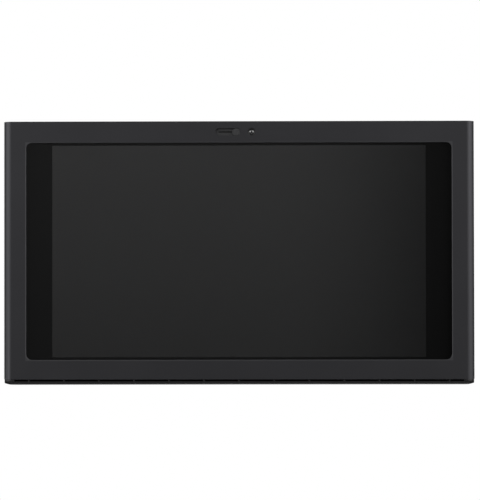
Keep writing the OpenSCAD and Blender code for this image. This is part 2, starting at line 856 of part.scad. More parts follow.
module damper_flap() {
    knuckle_r = 3.1;
    z0 = housing_top + 8.8;
    y0 = duct_y - duct_d / 2 + 1.2;
    w = duct_w / 2 - 1.2;
    color("#b4b7bb") {
        box_at([-w, y0, z0], [w, damper_y - damper_rod_r - 0.4, z0 + 1.2]);
        translate([0, damper_y, damper_z]) {
            bar_x(damper_rod_r, -duct_w / 2 - 2.2, duct_w / 2 + 2.2);
            for (x = [-100, 0, 100])
                translate([x, 0, 0]) {
                    bar_x(knuckle_r, -8, 8);
                    box_at([-8, -knuckle_r - 3, z0 - damper_z + 0.6], [8, 0, -0.5]);
                }
        }
    }
}

// ---- Underside ----

module filter_hinge_lugs() {
    color("#a8abaf")
        for (sx = [-1, 1], end = [-1, 1])
            translate([sx * filter_x + end * (filter_w / 2 + 5) - 1.5, 0, 0]) difference() {
                box_at([0, hinge_y - 5, pan_t], [3, hinge_y + 5, hinge_z + 5]);
                translate([0, hinge_y, hinge_z]) bar_x(hinge_pin_r + running, -1, 4);
            }
}

module filter_frame(side) {
    x0 = side * filter_x - filter_w / 2;
    z1 = filter_z0 + filter_t;
    front_border = filter_border + 4;
    color("#b7babd") {
        difference() {
            box_at([x0, filter_y0, filter_z0], [x0 + filter_w, filter_y0 + filter_d, z1]);
            box_at([x0 + filter_border, filter_y0 + front_border, filter_z0 - 1],
                   [x0 + filter_w - filter_border, filter_y0 + filter_d - filter_border, z1 + 1]);
            box_at([side * filter_x - pull_w / 2 - 0.5, filter_y0 + 1.5, filter_z0 - 1],
                   [side * filter_x + pull_w / 2 + 0.5, filter_y0 + 16, filter_z0 + 4.4]);
            translate([side * filter_x, filter_y0 + pull_pivot_y, pull_pivot_z])
                bar_x(pull_pin_r + running, -pull_w / 2 - 4, pull_w / 2 + 4);
        }
        for (end = [-1, 1])
            translate([side * filter_x + end * (filter_w / 2 + 1.4), hinge_y, hinge_z])
                bar_x(hinge_pin_r, -4.6, 4.6);
    }
}

module filter_mesh(side) {
    x0 = side * filter_x - filter_w / 2 + filter_border;
    y0 = filter_y0 + filter_border + 4;
    color("#cdd0d2")
        box_at([x0, y0, filter_z0 + 1.5],
               [x0 + filter_w - 2 * filter_border, filter_y0 + filter_d - filter_border,
                filter_z0 + filter_t - 1.5]);
}

// Flush finger pull that folds down out of the filter's front rail
module filter_pull(side) {
    color("#2a2a2c") translate([side * filter_x, filter_y0 + pull_pivot_y, pull_pivot_z]) {
        difference() {
            union() {
                box_at([-pull_w / 2, 1 - pull_d, -pull_t / 2], [pull_w / 2, 0, pull_t / 2]);
                bar_x(pull_t / 2, -pull_w / 2, pull_w / 2);
            }
            translate([0, -pull_d + 4.5, -pull_t]) linear_extrude(1.3) pill(28, 3);
        }
        bar_x(pull_pin_r, -pull_w / 2 - 3.5, pull_w / 2 + 3.5);
    }
}

module cooktop_light_lenses() {
    color("#f2f2ee")
        for (sx = [-1, 1])
            translate([sx * light_x, light_y, 0]) {
                translate([0, 0, 0.3]) linear_extrude(pan_t - 0.3 + eps)
                    rounded_rect(light_w - 0.6, light_d - 0.6, 5.7);
                translate([0, 0, pan_t]) linear_extrude(1.6)
                    rounded_rect(light_w + 10, light_d + 10, 8);
            }
}

module cooktop_light_boards() {
    color("#e6e3d8")
        for (sx = [-1, 1])
            translate([sx * light_x, light_y, pan_t + 1.6]) {
                difference() {
                    linear_extrude(14) rounded_rect(light_w, light_d, 4);
                    translate([0, 0, -1]) linear_extrude(13) rounded_rect(light_w - 4, light_d - 4, 3);
                }
                for (x = [-54 : 18 : 54])
                    translate([x - 2.5, -2.5, 11 + eps]) cube([5, 5, 1]);
            }
}

module cooktop_camera() {
    color("#161618") translate([0, cooktop_camera_y, 0]) {
        difference() {
            union() {
                translate([0, 0, pan_t + 1.6]) cylinder(r = 13, h = 12);
                translate([-18, -14, pan_t + 13.6 - eps]) cube([36, 28, 1.6]);
            }
            cylinder(r = 9, h = 10);
        }
        translate([0, 0, 6]) cylinder(r = 5, h = 6);
    }
}

module cooktop_camera_window() {
    color("#15171b") translate([0, cooktop_camera_y, 0]) {
        translate([0, 0, 0.3]) cylinder(r = cooktop_camera_r, h = pan_t - 0.3 + eps);
        translate([0, 0, pan_t]) cylinder(r = cooktop_camera_r + 3, h = 1.6);
    }
}

front_frame();
cover_glass();
glass_gasket();
black_border();
lcd_panel();
light_guide();
backlight_tray();
display_chassis();
shutter_track();
shutter_guide();
shutter_tab();
shutter_blade();
camera_window();
room_camera();
room_camera_lens();
lower_trim();
power_button();
power_switch();
speaker_box(-1);  // speaker_box_left
speaker_box(1);  // speaker_box_right
speaker_cones();
main_board();
main_heatsink();
power_board();
board_standoffs();
wireless_antennas();
display_ribbon();
electronics_cover();
cooling_fan_frame();
cooling_fan_rotor();
side_panel(-1);  // side_panel_left
side_panel(1);  // side_panel_right
top_panel();
back_panel();
base_pan();
wall_plate();
cabinet_weld_nuts();
cord_grommet();
case_screws();
blower_housing(-1);  // blower_housing_left
blower_housing(1);  // blower_housing_right
blower_motor();
motor_bracket();
blower_shaft();
blower_wheel(-1);  // blower_wheel_left
blower_wheel(1);  // blower_wheel_right
motor_capacitor();
outlet_collar();
damper_flap();
filter_hinge_lugs();
filter_frame(-1);  // filter_frame_left
filter_frame(1);  // filter_frame_right
filter_mesh(-1);  // filter_mesh_left
filter_mesh(1);  // filter_mesh_right
filter_pull(-1);  // filter_pull_left
filter_pull(1);  // filter_pull_right
cooktop_light_lenses();
cooktop_light_boards();
cooktop_camera();
cooktop_camera_window();
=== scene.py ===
# %% [markdown]
# # A kitchen screen with a ventilation cabinet
#
# The object is a wall-hung appliance: a 27-inch touch screen in a folded dark steel frame, on the
# front of a 30-inch cabinet that holds a blower, a damper, two grease filters and cooktop lights.
# The working parts come packed from the CAD model. This script gives them their finishes, eases
# their edges, and adds what sheet metal and mouldings have at a finer scale: screw heads, woven
# filter mesh and prism patterns. Lengths are in metres, +Z is up and the screen faces -Y.

# %% Load the frame
import json
import math
import bmesh
import bpy
from mathutils import Matrix, Vector


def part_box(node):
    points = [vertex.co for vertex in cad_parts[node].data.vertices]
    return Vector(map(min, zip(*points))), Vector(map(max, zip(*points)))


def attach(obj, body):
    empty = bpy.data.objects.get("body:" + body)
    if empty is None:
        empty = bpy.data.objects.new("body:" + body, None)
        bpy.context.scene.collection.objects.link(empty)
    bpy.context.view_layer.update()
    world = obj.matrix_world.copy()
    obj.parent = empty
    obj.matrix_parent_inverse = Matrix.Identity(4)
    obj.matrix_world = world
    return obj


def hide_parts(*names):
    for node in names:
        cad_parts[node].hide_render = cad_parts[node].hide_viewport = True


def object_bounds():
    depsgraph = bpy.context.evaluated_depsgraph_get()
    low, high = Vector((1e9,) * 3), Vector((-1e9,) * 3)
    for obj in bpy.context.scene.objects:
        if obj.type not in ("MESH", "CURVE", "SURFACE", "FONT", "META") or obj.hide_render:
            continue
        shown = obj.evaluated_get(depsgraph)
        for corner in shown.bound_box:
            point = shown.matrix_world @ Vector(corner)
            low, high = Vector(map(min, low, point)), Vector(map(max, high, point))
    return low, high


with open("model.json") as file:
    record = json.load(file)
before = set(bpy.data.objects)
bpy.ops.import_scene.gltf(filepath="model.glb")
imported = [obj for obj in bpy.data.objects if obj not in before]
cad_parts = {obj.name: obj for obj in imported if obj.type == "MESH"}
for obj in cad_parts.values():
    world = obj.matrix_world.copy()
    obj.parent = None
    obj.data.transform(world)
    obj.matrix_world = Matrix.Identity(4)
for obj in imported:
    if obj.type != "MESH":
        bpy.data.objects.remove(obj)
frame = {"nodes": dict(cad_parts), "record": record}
cad_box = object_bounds()
MM = 0.001
print("CAD box:", [round(v, 4) for corner in cad_box for v in corner])

# %% [markdown]
# ## Where things are
#
# Every position comes from the CAD nodes' own boxes, so nothing here has to be measured again.
# A small dictionary turns each node's name into the body that carries it, and another one into
# the name of its finish, because a new piece that stands for a node takes both from it.

# %% Look-up tables
bodies = frame["record"]["behaviour"]["bodies"]
body_of_node = {node: body for body, nodes in bodies.items() for node in nodes}
slot_of_node = {part["node"]: part["material_slot"] for part in frame["record"]["subparts"]}
low, high = cad_box
front_y = low.y
height = high.z - low.z

# %% [markdown]
# ## The camera
#
# A long lens stands far away and nearly square to the screen, so that only the front shows and
# upright edges stay upright. The whole width fills almost the whole frame. The lens stands two
# fingers below the middle of the body and as much to its right, and turns back to it by about half
# a degree each way, so the lower right corner is a hair nearer than the others.

# %% Camera
SENSOR = 36.0
LENS = 100.0
CAMERA_GAP = 2.2335
CAMERA_RIGHT, CAMERA_DOWN = 16.1 * MM, 18.8 * MM
TILT_UP, ROLL, TURN_LEFT = 90.6, 0.097, 0.367
camera_data = bpy.data.cameras.new("camera")
camera_data.lens = LENS
camera_data.sensor_width = SENSOR
camera = bpy.data.objects.new("camera", camera_data)
bpy.context.scene.collection.objects.link(camera)
camera.location = (CAMERA_RIGHT, front_y - CAMERA_GAP, height / 2 - CAMERA_DOWN)
camera.rotation_euler = [math.radians(turn) for turn in (TILT_UP, ROLL, TURN_LEFT)]
bpy.context.scene.camera = camera
print("camera", CAMERA_GAP, "m in front of the steel")

# %% [markdown]
# ## Sums on sockets
#
# A material is a small calculation. Node graphs hide that, so this class wraps a socket and lets
# Python's own operators add the Math nodes: `1 - mask * 0.2` reads as what it does. Colours
# never pass through it, because a Math node turns them grey; they use Mix nodes instead. A
# workshop is a node tree with one method that adds any other node, and a few short names for the
# nodes that are used most.

# %% A number in a node tree
def plug(tree, socket, value):
    """Gives a socket a link, if value is a wrapped socket, or else a plain value."""
    if isinstance(value, Sum):
        tree.links.new(value.socket, socket)
    elif isinstance(value, tuple) and len(value) == 3 and socket.type == "RGBA":
        socket.default_value = (*value, 1)
    else:
        socket.default_value = value

class Sum:
    """A number on its way through a node tree."""
    def __init__(self, tree, socket):
        self.tree, self.socket = tree, socket

    def math(self, operation, first, second=0.0):
        node = self.tree.nodes.new("ShaderNodeMath")
        node.operation = operation
        plug(self.tree, node.inputs[0], first)
        plug(self.tree, node.inputs[1], second)
        return Sum(self.tree, node.outputs[0])

    def __add__(self, other):
        return self.math("ADD", self, other)

    def __radd__(self, other):
        return self.math("ADD", other, self)

    def __sub__(self, other):
        return self.math("SUBTRACT", self, other)

    def __rsub__(self, other):
        return self.math("SUBTRACT", other, self)

    def __mul__(self, other):
        return self.math("MULTIPLY", self, other)

    def __rmul__(self, other):
        return self.math("MULTIPLY", other, self)

    def __truediv__(self, other):
        return self.math("DIVIDE", self, other)

    def __gt__(self, other):
        return self.math("GREATER_THAN", self, other)

    def __mod__(self, other):
        return self.math("FLOORED_MODULO", self, other)

    def __abs__(self):
        return self.math("ABSOLUTE", self)

print("sums ready, with", sum(name.startswith("__") for name in vars(Sum)), "special methods")

# %% A workshop for nodes
class Workshop:
    """A node tree, emptied, with short names for adding nodes."""
    def __init__(self, owner):
        owner.use_nodes = True
        self.tree = owner.node_tree
        self.tree.nodes.clear()

    def add(self, kind, settings=None, inputs=None, out=0):
        """Adds a node of a kind; settings go first, then the values or links of its sockets."""
        node = self.tree.nodes.new("ShaderNode" + kind)
        for key, value in (settings or {}).items():
            setattr(node, key, value)
        for key, value in (inputs or {}).items():
            plug(self.tree, node.inputs[key], value)
        return Sum(self.tree, node.outputs[out]) if node.outputs else None

    def split(self, vector):
        """The X, Y and Z of a vector, as three numbers."""
        node = self.tree.nodes.new("ShaderNodeSeparateXYZ")
        plug(self.tree, node.inputs[0], vector)
        return [Sum(self.tree, node.outputs[i]) for i in range(3)]

    def join(self, x, y, z):
        """A vector from three numbers."""
        return self.add("CombineXYZ", inputs={0: x, 1: y, 2: z})

    def ease(self, value, start, end, first=0.0, last=1.0):
        """Goes smoothly from first to last while value goes from start to end."""
        return self.add("MapRange", {"interpolation_type": "SMOOTHSTEP"},
                        {"Value": value, "From Min": start, "From Max": end,
                         "To Min": first, "To Max": last})

print("workshop ready")

# %% [markdown]
# ## The studio
#
# Dark, glossy things are lit by what they mirror, so the room matters as much as the lamps. Seen
# from the object, the room is dim straight ahead, where the camera stands, and bright to the
# sides, so the flat steel stays dark while its folds turn bright. The dim part fades from left to
# right and the glass shows that fade. The bright sides end below the horizon, so a screen that is
# looked down on mirrors the dark and stays black. Behind the object it is dark again, which draws
# a dark line along each outer edge. Rays that start at the camera see plain white instead, so the
# page behind the object stays clean.

# %% The room
world = bpy.data.worlds.new("room")
bpy.context.scene.world = world
room = Workshop(world)
toward = room.add("TexCoord", out="Generated")
east, north, up = room.split(toward)
ahead = room.ease(east, 0.22, 0.02, 0.010, 0.21) * room.ease(up, -0.25, 0.25, 0.5, 1.5)
sides = (room.ease(abs(east), 0.22, 0.80) * room.ease(up, -0.40, 0.02)
         * room.ease(up, 0.92, 0.42))
over = room.ease(up, 0.22, 0.75)
under = room.ease(up, -0.45, -0.95) * room.ease(north, 0.05, -0.20)
reach = room.ease(north, 0.30, 0.05) + room.ease(up, 0.45, 0.75) * room.ease(north, 0.05, 0.30)
glow = (ahead * room.ease(north, -0.88, -0.95)
        + (sides * 2.1 + over * 0.6 + under * 0.6) * reach)
dim = room.add("Background", inputs={"Strength": glow})
white = room.add("Background", inputs={"Color": (1.0, 1.0, 1.0), "Strength": 1.0})
seen = room.add("LightPath", out="Is Camera Ray")
both = room.add("MixShader", inputs={0: seen, 1: dim, 2: white})
room.add("OutputWorld", inputs={"Surface": both})
bpy.context.scene.view_settings.view_transform = "Standard"
print("room nodes:", len(room.tree.nodes))

# %% [markdown]
# ## Lamps
#
# Two large soft boxes stand left and right of the camera. They show as a pair of small windows in
# the camera's lens, as they do in a person's eye. Four more light the top, the underside and the
# back, for anyone who walks round the object.

# %% Lamps
def soft_box(name, place, target, size, watts):
    """A rectangular light at place that faces target."""
    data = bpy.data.lights.new(name, "AREA")
    data.shape = "RECTANGLE"
    data.size, data.size_y = size
    data.energy = watts
    lamp = bpy.data.objects.new(name, data)
    lamp.location = place
    lamp.rotation_mode = "QUATERNION"
    lamp.rotation_quaternion = (Vector(target) - Vector(place)).to_track_quat("-Z", "Y")
    bpy.context.scene.collection.objects.link(lamp)

middle = Vector((0, 0, height / 2))
soft_box("box_left", (-2.1, -1.7, 1.4), middle, (1.0, 1.4), 9)
soft_box("box_right", (2.1, -1.7, 1.4), middle, (1.0, 1.4), 9)
soft_box("box_top", (0, 0.6, 2.6), middle, (2.4, 1.6), 16)
soft_box("box_back_left", (-0.9, 3.0, 1.4), middle, (1.6, 1.6), 34)
soft_box("box_back_right", (1.1, 2.8, 1.6), middle, (1.6, 1.6), 34)
soft_box("box_below", (0.2, 0.3, -1.5), middle, (1.6, 1.2), 10)

# %% [markdown]
# ## The floor
#
# The object hangs on a wall, so the floor is far below it, deep enough that a look from under the
# cabinet still starts above the floor. It is only a backdrop: glossy, diffuse and transmitted rays
# pass it by, or its pale light would show as a grey veil on the screen's glass.

# %% Floor
FLOOR_DROP = 2.6
FLOOR_HALF = 12
floor_mesh = bpy.data.meshes.new("floor")
shape = bmesh.new()
bmesh.ops.create_grid(shape, x_segments=8, y_segments=8, size=FLOOR_HALF)
bmesh.ops.translate(shape, verts=shape.verts, vec=(0, 0, -FLOOR_DROP))
shape.to_mesh(floor_mesh)
shape.free()
floor = bpy.data.objects.new("floor", floor_mesh)
bpy.context.scene.collection.objects.link(floor)
floor.visible_glossy = False
floor.visible_diffuse = False
floor.visible_transmission = False
print("floor", FLOOR_DROP, "m below the underside")

# %% [markdown]
# ## A finish
#
# Every material here has the same bones: a Principled shader whose patterns are read in object
# coordinates, so they stay on the part when it moves. Numbers that are the same all over go on
# the shader's own sockets.

# %% A finish
class Finish(Workshop):
    """A material being built: a Principled shader, and the workshop's nodes to feed it."""
    def __init__(self, name, colour, roughness, metallic=0.0, **constants):
        self.material = bpy.data.materials.new(name)
        super().__init__(self.material)
        self.output = self.tree.nodes.new("ShaderNodeOutputMaterial")
        self.skin = self.tree.nodes.new("ShaderNodeBsdfPrincipled")
        self.tree.links.new(self.skin.outputs[0], self.output.inputs["Surface"])
        self.set("Base Color", colour)
        self.set("Roughness", roughness)
        self.set("Metallic", metallic)
        for socket, value in constants.items():
            self.set(socket.replace("_", " "), value)
        self.place = self.add("TexCoord", out="Object")
        self.x, self.y, self.z = self.split(self.place)

    def set(self, socket, value):
        """Sets or links one of the shader's own sockets."""
        plug(self.tree, self.skin.inputs[socket], value)

    def noise(self, scale, detail=2.0, vector=None):
        """Cloudy noise from 0 to 1. Scale is in lumps per metre."""
        return self.add("TexNoise", inputs={"Vector": vector or self.place, "Scale": scale,
                                            "Detail": detail})

    def cells(self, size):
        """Cells of about a size in metres, each of one random colour."""
        return self.add("TexVoronoi", inputs={"Vector": self.place, "Scale": 1 / size},
                        out="Color")

    def between(self, mask, one, two):
        """The colour one where mask is 0, and two where it is 1."""
        node = self.tree.nodes.new("ShaderNodeMix")
        node.data_type = "RGBA"
        plug(self.tree, node.inputs["Factor"], mask)
        plug(self.tree, node.inputs[6], one)
        plug(self.tree, node.inputs[7], two)
        return Sum(self.tree, node.outputs[2])

    def bump(self, rise, distance, strength=1.0):
        """Raises the surface by rise times distance metres."""
        normal = self.add("Bump", inputs={"Height": rise, "Distance": distance,
                                          "Strength": strength})
        self.set("Normal", normal)

    def level(self):
        """1 where the surface lies level, either way up, and 0 elsewhere."""
        turned = self.add("TexCoord", out="Normal")
        return abs(self.split(turned)[2]) > 0.7

finishes = {}
print("finish tools ready")

# %% [markdown]
# ## Black stainless steel
#
# The frame is stainless steel with a dark coating over a fine horizontal grain. The grain is noise
# that is stretched along the way the sheet was brushed and very thin across it, so each fleck is
# a scratch. It changes roughness more than height. Where the sheet folds back over the top, the
# grain runs on along the width, so there the thin direction turns from Z to Y. Round the screen
# opening the press rolls the edge over, and there a lighter base colour is a painted highlight for
# the light this rolled edge catches: the distance past the opening's rectangle, taken along X or Z,
# whichever is more, says where.

# %% Black stainless steel
GRAIN_LINES = 900.0
GRAIN_LENGTHS = 5.0
OPENING_W, OPENING_H = 685.2 * MM, 349.4 * MM
OPENING_MIDDLE = 214.8 * MM
# Width of the band of painted highlight along the screen opening's rolled edge.
EDGE_HIGHLIGHT_WIDTH = 1.9 * MM

def black_stainless():
    f = Finish("black_stainless", (0.07, 0.07, 0.073), 0.5, metallic=1.0,
               Specular_Tint=(0.05, 0.05, 0.05))
    lid = f.level()
    across = f.y * (GRAIN_LENGTHS + lid * (GRAIN_LINES - GRAIN_LENGTHS))
    grain = f.noise(1.0, 3.0, f.join(f.x * GRAIN_LENGTHS, across, f.z * GRAIN_LINES))
    cloud = f.noise(14.0, 3.0)
    speck = f.noise(420.0, 2.0)
    coating = f.between(cloud, (0.072, 0.072, 0.077), (0.079, 0.079, 0.085))
    beside = f.x.math("MAXIMUM", abs(f.x) - OPENING_W / 2,
                      abs(f.z - OPENING_MIDDLE) - OPENING_H / 2)
    # Painted highlight: a lighter base colour in a thin band along the opening's rolled edge.
    painted_edge_highlight = f.ease(beside, EDGE_HIGHLIGHT_WIDTH, EDGE_HIGHLIGHT_WIDTH * 0.4)
    f.set("Base Color", f.between(painted_edge_highlight, coating, (0.108, 0.108, 0.114)))
    f.set("Roughness", 0.45 + grain * 0.08 + cloud * 0.04)
    f.bump(grain * 0.6 + speck * 0.4, 0.02 * MM, 0.35)
    return f.material

finishes["black_stainless"] = black_stainless()
print("black stainless: grain", GRAIN_LINES, "lines per metre")

# %% [markdown]
# ## Sheet and cast metals
#
# The cabinet's sheet is painted in powder, which flows into a faint orange peel as it melts. The
# parts nobody sees from the room are zinc-coated: zinc freezes in flat crystals, called spangle,
# and cells whose brightness and roughness differ give exactly that. Aluminium keeps a soft grain
# from the rolling mill.

# %% Painted, zinc-coated and aluminium sheet
def powder_coat(name, colour, roughness=0.46):
    f = Finish(name, colour, roughness)
    peel = f.noise(520.0, 2.0)
    cloud = f.noise(9.0, 3.0)
    light = tuple(c * 1.25 for c in colour)
    f.set("Base Color", f.between(cloud, colour, light))
    f.set("Roughness", roughness + peel * 0.08 - cloud * 0.06)
    f.bump(peel, 0.05 * MM, 0.5)
    return f.material

def zinc_sheet(name, colour, crystal=0.006):
    f = Finish(name, colour, 0.38, metallic=1.0)
    shade = f.split(f.cells(crystal))[0]
    cloud = f.noise(7.0, 3.0)
    dark = tuple(c * 0.90 for c in colour)
    f.set("Base Color", f.between(shade, dark, colour))
    f.set("Roughness", 0.38 + shade * 0.05 + cloud * 0.04)
    f.bump(f.noise(300.0, 2.0), 0.01 * MM, 0.4)
    return f.material

def rolled_aluminium(name, colour, roughness=0.34, along=0):
    f = Finish(name, colour, roughness, metallic=1.0)
    scale = [600.0, 600.0, 600.0]
    scale[along] = 6.0
    grain = f.noise(1.0, 2.0, f.join(f.x * scale[0], f.y * scale[1], f.z * scale[2]))
    cloud = f.noise(12.0, 3.0)
    f.set("Base Color", f.between(cloud, colour, tuple(c * 0.86 for c in colour)))
    f.set("Roughness", roughness + grain * 0.10 - cloud * 0.06)
    f.bump(grain, 0.02 * MM, 0.4)
    return f.material

finishes["painted_case"] = powder_coat("painted_case", (0.013, 0.013, 0.0135))
finishes["dark_steel"] = powder_coat("dark_steel", (0.026, 0.026, 0.027), 0.36)
finishes["wheel_steel"] = powder_coat("wheel_steel", (0.085, 0.087, 0.09), 0.42)
finishes["galvanised_steel"] = zinc_sheet("galvanised_steel", (0.40, 0.41, 0.42))
finishes["damper_aluminium"] = rolled_aluminium("damper_aluminium", (0.36, 0.365, 0.37), 0.42)
finishes["filter_aluminium"] = rolled_aluminium("filter_aluminium", (0.60, 0.61, 0.62), 0.30)
finishes["filter_mesh"] = rolled_aluminium("filter_mesh", (0.56, 0.57, 0.58), 0.36, along=1)
finishes["heatsink_aluminium"] = rolled_aluminium("heatsink_aluminium", (0.5, 0.51, 0.53), 0.36,
                                                  along=2)
print("metals:", sorted(finishes))

# %% [markdown]
# ## Plastics and rubber
#
# A moulding copies its mould, and moulds are spark-eroded to a fine even sparkle. Two noises do
# it: a fine one in the bump, and a slow one in the roughness, where hands and flow marks show.

# %% Mouldings
def moulded(name, colour, roughness=0.5, grain=1400.0, depth=0.03, **constants):
    f = Finish(name, colour, roughness, **constants)
    sparkle = f.noise(grain, 2.0)
    flow = f.noise(30.0, 3.0)
    f.set("Base Color", f.between(flow, colour, tuple(c * 1.18 for c in colour)))
    f.set("Roughness", roughness - 0.05 + sparkle * 0.10 + flow * 0.05)
    f.bump(sparkle, depth * MM, 0.6)
    return f.material

finishes["black_plastic"] = moulded("black_plastic", (0.0085, 0.0085, 0.009), 0.42)
finishes["grey_plastic"] = moulded("grey_plastic", (0.042, 0.042, 0.044), 0.40)
finishes["black_rubber"] = moulded("black_rubber", (0.012, 0.012, 0.012), 0.66, 700.0)
finishes["speaker_cone"] = moulded("speaker_cone", (0.028, 0.027, 0.026), 0.75, 500.0, 0.08)
finishes["cream_plastic"] = moulded("cream_plastic", (0.70, 0.67, 0.58), 0.42, 900.0)
finishes["light_plastic"] = moulded("light_plastic", (0.84, 0.86, 0.88), 0.16, 300.0, 0.01)
print("mouldings added, now", len(finishes), "finishes")

# %% [markdown]
# ## Electronics
#
# A circuit board is a green lacquer over copper tracks. Bricks with a thin mortar make the tracks:
# the mortar is the gap, and a lighter green shows where copper lies underneath. The flat cable and
# the antennas are copper under amber film.

# %% Board, brass and foil
def circuit_board():
    f = Finish("circuit_board", (0.012, 0.10, 0.04), 0.32, Coat_Weight=0.5)
    flat = f.join(f.x, f.z, 0.0)
    tracks = f.add("TexBrick", {"offset": 0.37, "squash": 0.6, "squash_frequency": 3},
                   {"Vector": flat, "Scale": 160.0, "Mortar Size": 0.10, "Bias": 0.1,
                    "Color1": (0.0, 0.0, 0.0), "Color2": (1.0, 1.0, 1.0)})
    copper = f.split(tracks)[0]
    f.set("Base Color", f.between(copper, (0.010, 0.085, 0.034), (0.016, 0.13, 0.05)))
    f.set("Roughness", 0.28 + copper * 0.10)
    f.bump(copper, 0.03 * MM, 0.6)
    return f.material

def drawn_metal(name, colour, roughness):
    f = Finish(name, colour, roughness, metallic=1.0)
    turned = f.noise(1.0, 2.0, f.join(f.x * 900.0, f.y * 60.0, f.z * 900.0))
    f.set("Base Color", f.between(turned, colour, tuple(c * 0.8 for c in colour)))
    f.set("Roughness", roughness + turned * 0.10)
    return f.material

finishes["circuit_board"] = circuit_board()
finishes["brass"] = drawn_metal("brass", (0.60, 0.43, 0.17), 0.26)
finishes["antenna_foil"] = drawn_metal("antenna_foil", (0.58, 0.27, 0.06), 0.32)
print("electronics added")

# %% [markdown]
# ## Screen and glass
#
# A switched-off panel isn't black: its polariser scatters a little room light, so it reads as a
# dark grey rectangle, lighter than the ink round it. The cover is real glass: clear, smooth, and
# mirroring a twentieth of what stands before it. Light for what lies behind it has to get through,
# so rays that look for lamps see a Transparent shader in its place. The small lens and window are
# dark coated glass that nobody sees through, so they are made as very smooth mouldings.

# %% Panel, ink and glass
def screen_panel():
    f = Finish("screen", (0.07, 0.07, 0.07), 0.14, metallic=1.0)
    haze = f.noise(5.0, 2.0)
    fine = f.noise(900.0, 1.0)
    f.set("Base Color", f.between(haze, (0.066, 0.066, 0.067), (0.073, 0.073, 0.074)))
    f.set("Roughness", 0.125 + fine * 0.02)
    return f.material

def ink():
    f = Finish("black_ink", (0.0022, 0.0022, 0.0023), 0.6, Specular_IOR_Level=0.1)
    fine = f.noise(1500.0, 1.0)
    f.set("Base Color", f.between(fine, (0.0018, 0.0018, 0.0019), (0.0028, 0.0028, 0.0029)))
    return f.material

def clear_glass():
    tint = (0.98, 0.985, 0.985)
    f = Finish("clear_glass", tint, 0.0, Transmission_Weight=1.0, IOR=1.5)
    smear = f.noise(16.0, 3.0)
    f.set("Roughness", 0.004 + smear * 0.012)
    through = f.add("BsdfTransparent", inputs={"Color": tint})
    lamp_ray = f.add("LightPath", out="Is Shadow Ray")
    mixed = f.add("MixShader", inputs={0: lamp_ray, 1: Sum(f.tree, f.skin.outputs[0]),
                                       2: through})
    f.tree.links.new(mixed.socket, f.output.inputs["Surface"])
    return f.material

finishes["screen"] = screen_panel()
finishes["black_ink"] = ink()
finishes["clear_glass"] = clear_glass()
finishes["lens_glass"] = moulded("lens_glass", (0.004, 0.004, 0.006), 0.12, 200.0, 0.001, IOR=2.4)
finishes["smoked_window"] = moulded("smoked_window", (0.010, 0.010, 0.012), 0.07, 200.0, 0.004)
print("glass added")

# %% [markdown]
# ## Lamp lenses
#
# The two lenses on the underside are frosted plastic, moulded with a lattice of small pyramids
# that spread the light over the cooktop. The lattice is two crossed triangle waves, so it can be
# written down as a sum.

# %% Prismatic lens
def frosted_lens():
    f = Finish("frosted_lens", (0.82, 0.82, 0.80), 0.22, Coat_Weight=0.3)
    pitch = 3 * MM
    ridge_x = abs((f.x / pitch) % 1.0 - 0.5)
    ridge_y = abs((f.y / pitch) % 1.0 - 0.5)
    cloud = f.noise(20.0, 2.0)
    f.set("Base Color", f.between(cloud, (0.84, 0.84, 0.82), (0.76, 0.77, 0.75)))
    f.set("Roughness", 0.20 + cloud * 0.10)
    f.bump(ridge_x + ridge_y, 0.6 * MM, 0.8)
    return f.material

finishes["frosted_lens"] = frosted_lens()
missing = sorted(set(slot_of_node.values()) - set(finishes))
print("finishes:", len(finishes), "missing:", missing)

# %% [markdown]
# ## Finishing the CAD nodes
#
# Each CAD node already has one material slot. Its finish goes into the object's slot, which
# leaves the mesh as it is.

# %% Give every node its finish
for node, part in frame["nodes"].items():
    part.material_slots[0].link = "OBJECT"
    part.material_slots[0].material = finishes[slot_of_node[node]]
print("finished", len(frame["nodes"]), "nodes")

# %% [markdown]
# ## Easing the edges
#
# No real edge is perfectly sharp: sheared sheet has a burr knocked off, folds have a radius, and
# mouldings release from rounded moulds. Light catches those thin rounds, and they tell the eye
# how thick a sheet is. A copy of the CAD mesh is merged, its flat faces are joined, and bevel
# rounds the sharp edges. Some edges are folds and get a bigger radius, so a piece can be bevelled
# twice: first the folds that a small test picks out, and then all the others.

# %% A new piece
def piece_from(shape, name, node, smooth_angle=40.0):
    """Makes an object of a finished bmesh. It rides on the node's body and has its finish."""
    mesh = bpy.data.meshes.new(name)
    shape.to_mesh(mesh)
    shape.free()
    piece = bpy.data.objects.new(name, mesh)
    bpy.context.scene.collection.objects.link(piece)
    mesh.materials.append(finishes[slot_of_node[node]])
    for face in mesh.polygons:
        face.use_smooth = True
    mesh.set_sharp_from_angle(angle=math.radians(smooth_angle))
    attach(piece, body_of_node[node])
    return piece

def sharp_edges(shape, degrees=30.0):
    """The edges where two faces meet at more than an angle."""
    return [e for e in shape.edges
            if len(e.link_faces) == 2 and e.calc_face_angle(0.0) > math.radians(degrees)]

def middle_of(edge):
    """The point halfway along an edge."""
    return (edge.verts[0].co + edge.verts[1].co) / 2

def merged_copy(node):
    """A bmesh of a CAD node with its triangles merged into whole flat faces."""
    shape = bmesh.new()
    shape.from_mesh(frame["nodes"][node].data)
    bmesh.ops.remove_doubles(shape, verts=shape.verts, dist=0.002 * MM)
    bmesh.ops.dissolve_limit(shape, angle_limit=math.radians(0.4), verts=shape.verts,
                             edges=shape.edges)
    return shape

print("piece tools ready")

